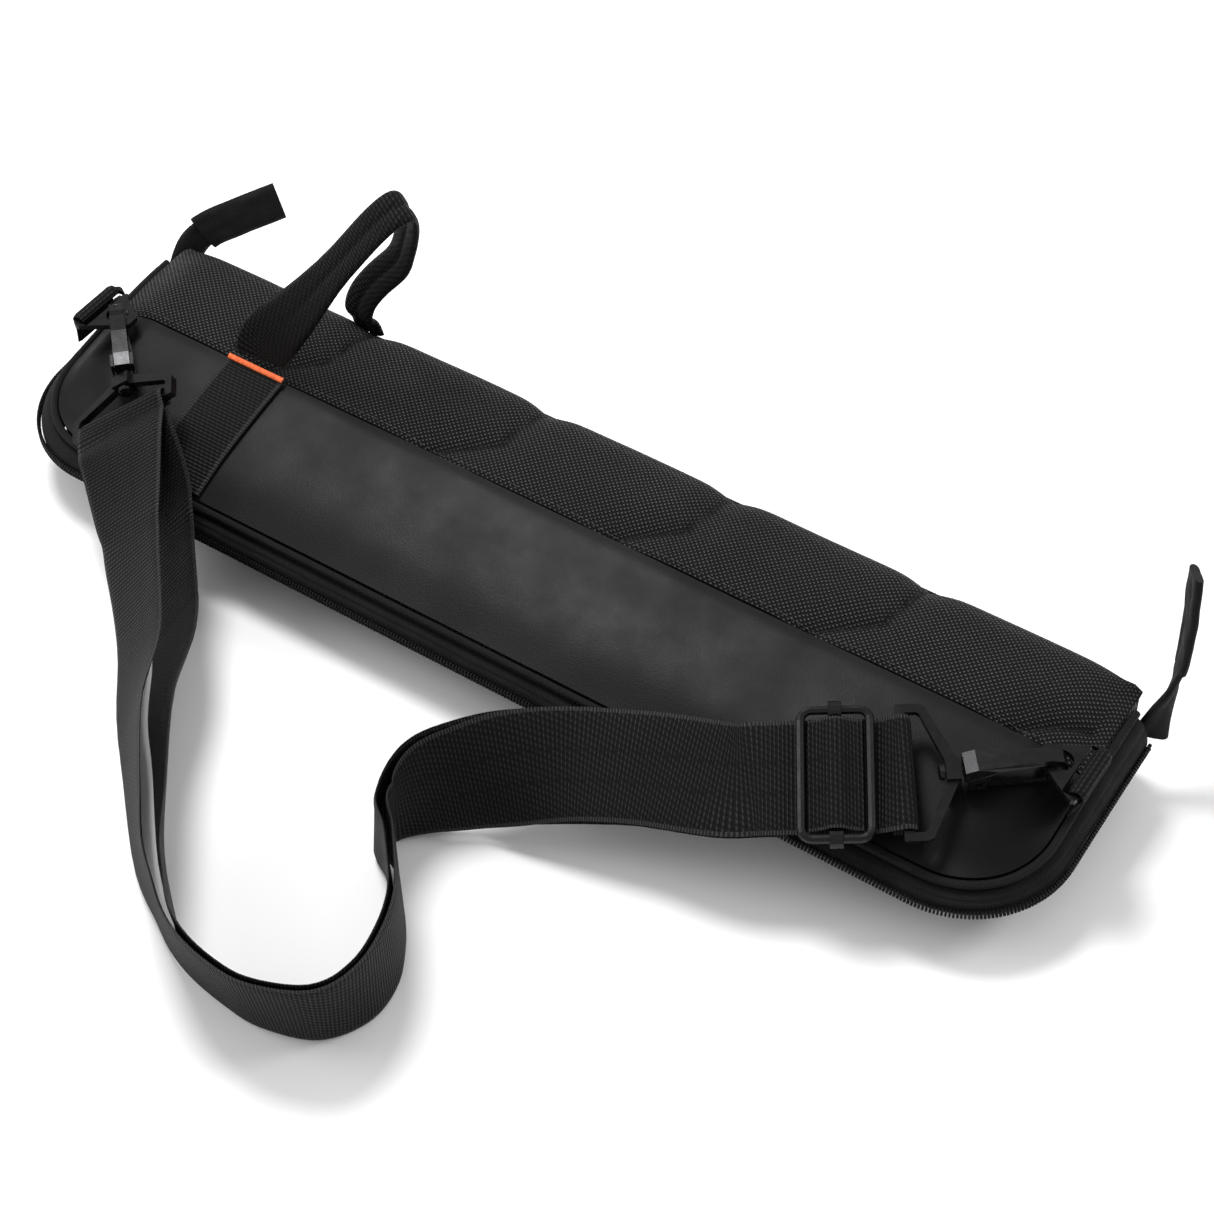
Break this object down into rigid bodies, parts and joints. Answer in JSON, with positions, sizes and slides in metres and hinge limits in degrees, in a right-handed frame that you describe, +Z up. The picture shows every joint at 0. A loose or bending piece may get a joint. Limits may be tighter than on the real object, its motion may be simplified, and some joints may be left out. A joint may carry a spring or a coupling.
{
  "type": "drumstick bag",
  "caption": "Slim padded zip-around drumstick bag that opens like a book, with a folded webbing carry handle and a detachable shoulder strap on swivel snap hooks.",
  "frame": {"origin": "middle of the flat underside of the back panel, with the bag lying on it", "axes": "+X along the bag towards the end with the strap slider, +Y from the zip side to the spine, +Z up out of the front cover"},
  "size_m": [0.4842, 0.3239, 0.139],
  "materials": {
    "nylon": "black ballistic nylon with a coarse basket weave, matt with bright yarn crowns",
    "leatherette": "smooth dark grey-black coated leatherette, low sheen",
    "lining": "soft brushed dark grey lining",
    "tape": "matt black woven tape and piping",
    "coil": "black zip coil, satin",
    "webbing": "ribbed black webbing",
    "thread": "orange bar-tack thread",
    "gunmetal": "dark gunmetal plating with bright bevels",
    "zip_metal": "black painted zip slider"
  },
  "bodies": {
    "back": {"back_panel": "leatherette", "back_lining": "lining", "stick_pocket": "nylon", "pocket_binding": "tape", "piping_back": "tape", "gusset_back": "tape", "zip_coil_back": "coil"},
    "spine": {"spine_panel": "nylon"},
    "front_cover": {"front_panel": "leatherette", "front_nylon_panel": "nylon", "front_lining": "lining", "piping_front": "tape", "gusset_front": "tape", "zip_coil_front": "coil", "handle_band": "webbing", "handle_bar_tack": "thread", "handle_foot_front": "webbing", "handle_foot_back": "webbing", "anchor_loop_left": "webbing", "anchor_loop_right": "webbing", "strap_front_layer": "webbing", "strap_back_layer": "webbing", "strap_bracket_left": "gunmetal", "strap_bracket_right": "gunmetal"},
    "handle": {"handle_loop": "webbing"},
    "dee_left": {"dee_plate_left": "gunmetal"},
    "dee_right": {"dee_plate_right": "gunmetal"},
    "hook_left": {"snap_hook_left": "gunmetal", "gate_pin_left": "gunmetal", "swivel_stud_left": "gunmetal"},
    "hook_right": {"snap_hook_right": "gunmetal", "gate_pin_right": "gunmetal", "swivel_stud_right": "gunmetal"},
    "gate_left": {"hook_gate_left": "gunmetal"},
    "gate_right": {"hook_gate_right": "gunmetal"},
    "strap_slider": {"slider_frame": "gunmetal", "slider_bar": "gunmetal", "strap_bar_loop": "webbing"},
    "zip_slider": {"zip_slider": "zip_metal", "zip_slider_bridge": "zip_metal"},
    "zip_pull": {"zip_pull": "zip_metal"},
    "tail_left": {"zip_tail_left": "tape", "tail_tab_left": "tape"},
    "tail_right": {"zip_tail_right": "tape", "tail_tab_right": "tape"}
  },
  "joints": [
    {"name": "spine_fold", "type": "hinge", "parent": "back", "child": "spine", "pos_m": [0, 0.0595, 0.008], "axis": [-1, 0, 0], "range_deg": [0, 90]},
    {"name": "cover_open", "type": "hinge", "parent": "spine", "child": "front_cover", "pos_m": [0, 0.0595, 0.046], "axis": [-1, 0, 0], "range_deg": [0, 90]},
    {"name": "handle_swing", "type": "hinge", "parent": "front_cover", "child": "handle", "pos_m": [-0.13598, 0.03892, 0.06529], "axis": [0.2895, 0.9274, -0.2371], "range_deg": [-30, 30], "stiffness_Nm_per_rad": 0.02, "deforming": ["handle_foot_front", "handle_foot_back"]},
    {"name": "zip_slide", "type": "slide", "parent": "back", "child": "zip_slider", "axis": [0, -1, 0], "range_m": [0, 0.038]},
    {"name": "zip_pull_flip", "type": "hinge", "parent": "zip_slider", "child": "zip_pull", "pos_m": [-0.245, 0.033, 0.02726], "axis": [0, 0, -1], "range_deg": [0, 150]},
    {"name": "strap_adjust", "type": "slide", "parent": "front_cover", "child": "strap_slider", "axis": [-0.8613, -0.4973, -0.1045], "range_m": [0, 0.012]},
    {"name": "dee_rock_left", "type": "hinge", "parent": "front_cover", "child": "dee_left", "pos_m": [-0.2242, 0.003, 0.0535], "axis": [0, 1, 0], "range_deg": [-0.5, 3]},
    {"name": "hook_swivel_left", "type": "hinge", "parent": "front_cover", "child": "hook_left", "pos_m": [-0.1884, -0.02454, 0.05108], "axis": [-0.6909, 0.7154, 0.1045], "range_deg": [-8, 8]},
    {"name": "gate_open_left", "type": "hinge", "parent": "hook_left", "child": "gate_left", "pos_m": [-0.19403, -0.01872, 0.05535], "axis": [-0.7193, -0.6947, 0], "range_deg": [0, 4.5], "stiffness_Nm_per_rad": 0.05, "springref_deg": -5.73},
    {"name": "tail_bend_left", "type": "hinge", "parent": "spine", "child": "tail_left", "pos_m": [-0.2315, 0.0605, 0.029], "axis": [0, 0, 1], "range_deg": [-10, 90], "stiffness_Nm_per_rad": 0.004},
    {"name": "dee_rock_right", "type": "hinge", "parent": "front_cover", "child": "dee_right", "pos_m": [0.228, 0.0055, 0.0535], "axis": [0, -1, 0], "range_deg": [-0.5, 3]},
    {"name": "hook_swivel_right", "type": "hinge", "parent": "front_cover", "child": "hook_right", "pos_m": [0.18826, -0.01793, 0.05203], "axis": [0.7932, 0.6087, 0.0175], "range_deg": [-8, 8]},
    {"name": "gate_open_right", "type": "hinge", "parent": "hook_right", "child": "gate_right", "pos_m": [0.19505, -0.01272, 0.04878], "axis": [0.6088, -0.7934, 0], "range_deg": [0, 6], "stiffness_Nm_per_rad": 0.05, "springref_deg": -5.73},
    {"name": "tail_bend_right", "type": "hinge", "parent": "spine", "child": "tail_right", "pos_m": [0.2335, 0.0605, 0.029], "axis": [0, 0, -1], "range_deg": [-10, 90], "stiffness_Nm_per_rad": 0.004}
  ],
  "couplings": [
    {"joint": "cover_open", "follows": "spine_fold", "ratio": 1}
  ]
}
